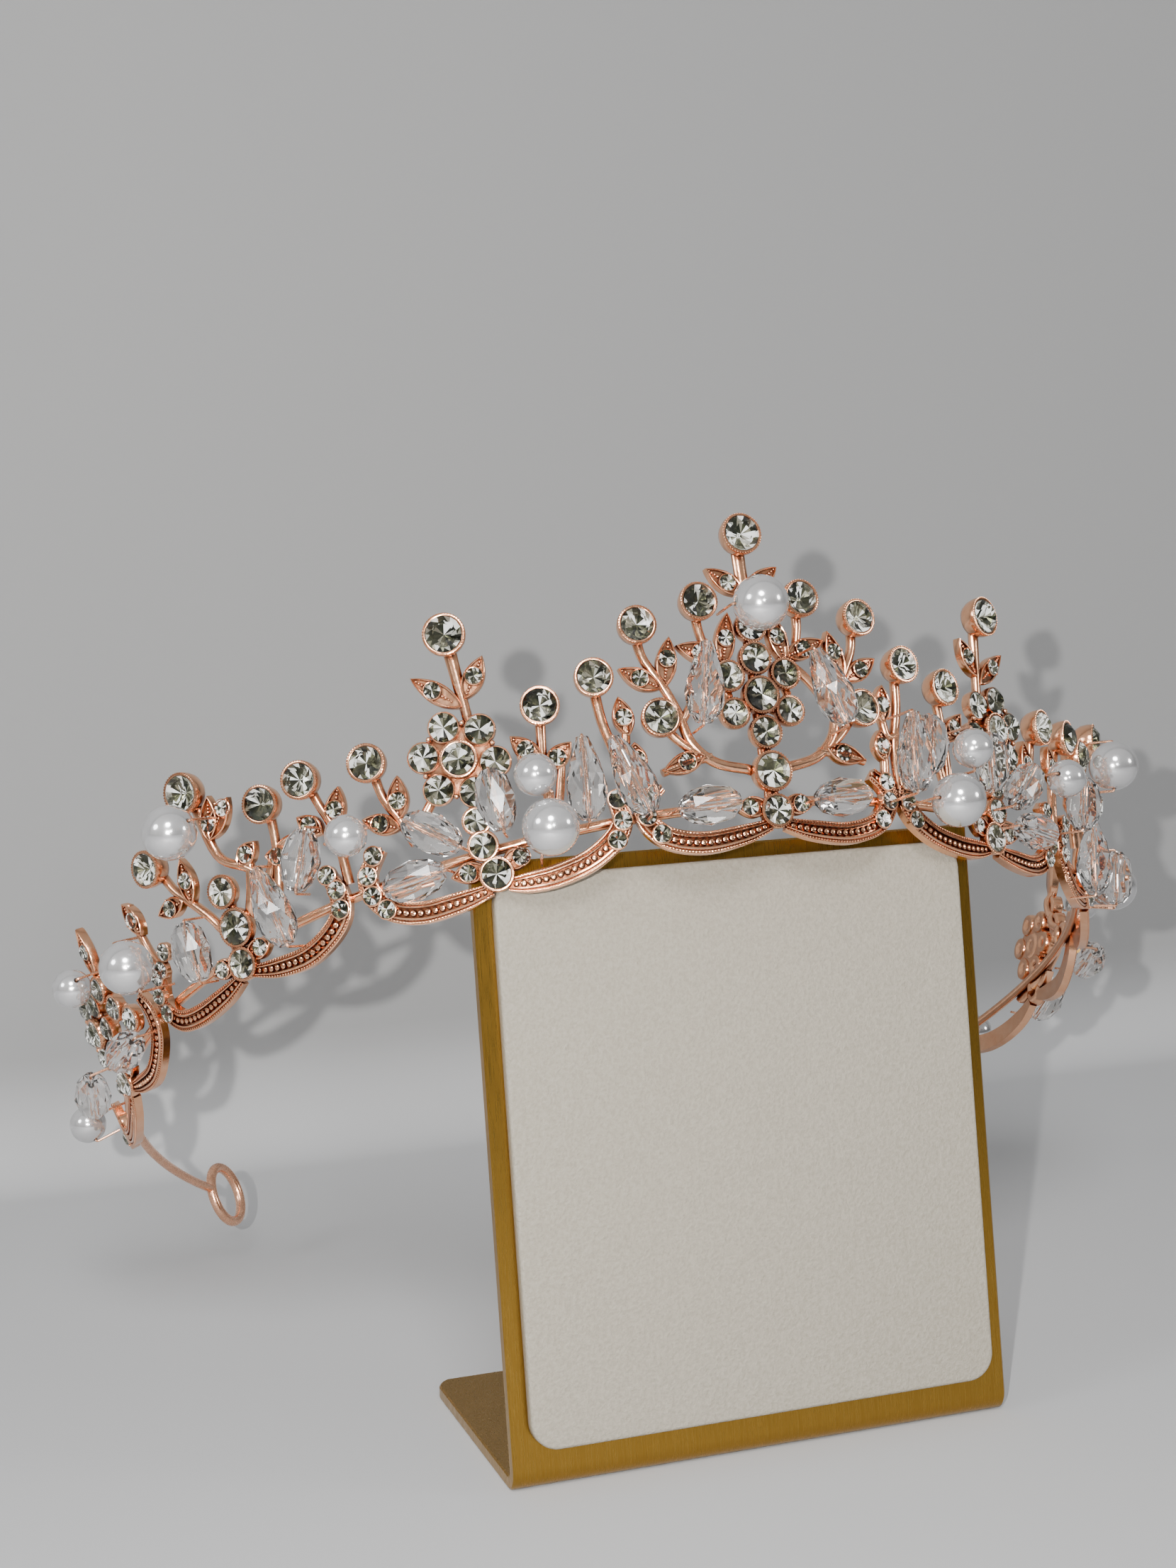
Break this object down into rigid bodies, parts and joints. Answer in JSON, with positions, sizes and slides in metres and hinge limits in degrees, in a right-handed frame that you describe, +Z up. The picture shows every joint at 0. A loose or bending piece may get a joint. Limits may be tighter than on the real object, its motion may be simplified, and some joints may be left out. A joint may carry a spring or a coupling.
{
  "type": "tiara on display stand",
  "caption": "Open filigree tiara with stones, pearls and clear crystals, resting on a small padded display stand.",
  "frame": {"origin": "middle of the underside of the stand's foot, on the surface it stands on", "axes": "+X to the right seen from the front, +Y backward along the foot, +Z up"},
  "size_m": [0.186, 0.1259, 0.1354],
  "materials": {
    "gold": "polished rose gold",
    "stones": "foil-backed cut glass",
    "crystal": "clear faceted glass",
    "pearls": "glossy pearl",
    "brass": "fine brushed, satin",
    "pad": "matte, fine grain"
  },
  "bodies": {
    "root": {"crest": "gold", "end_loop_left": "gold", "end_loop_right": "gold", "ball_stones": "stones", "seed_stones": "stones", "bead_wires": "gold", "pearl_centre": "pearls", "pearl_left_1": "pearls", "pearl_left_2": "pearls", "pearl_left_3": "pearls", "pearl_left_4": "pearls", "pearl_left_5": "pearls", "pearl_left_6": "pearls", "pearl_left_7": "pearls", "pearl_right_1": "pearls", "pearl_right_2": "pearls", "pearl_right_3": "pearls", "pearl_right_4": "pearls", "pearl_right_5": "pearls", "pearl_right_6": "pearls", "pearl_right_7": "pearls", "crystal_left_1": "crystal", "crystal_left_2": "crystal", "crystal_left_3": "crystal", "crystal_left_4": "crystal", "crystal_left_5": "crystal", "crystal_left_6": "crystal", "crystal_left_7": "crystal", "crystal_left_8": "crystal", "crystal_left_9": "crystal", "crystal_left_10": "crystal", "crystal_left_11": "crystal", "crystal_left_12": "crystal", "crystal_right_1": "crystal", "crystal_right_2": "crystal", "crystal_right_3": "crystal", "crystal_right_4": "crystal", "crystal_right_5": "crystal", "crystal_right_6": "crystal", "crystal_right_7": "crystal", "crystal_right_8": "crystal", "crystal_right_9": "crystal", "crystal_right_10": "crystal", "crystal_right_11": "crystal", "crystal_right_12": "crystal", "stand": "brass", "pad": "pad"}
  },
  "joints": []
}
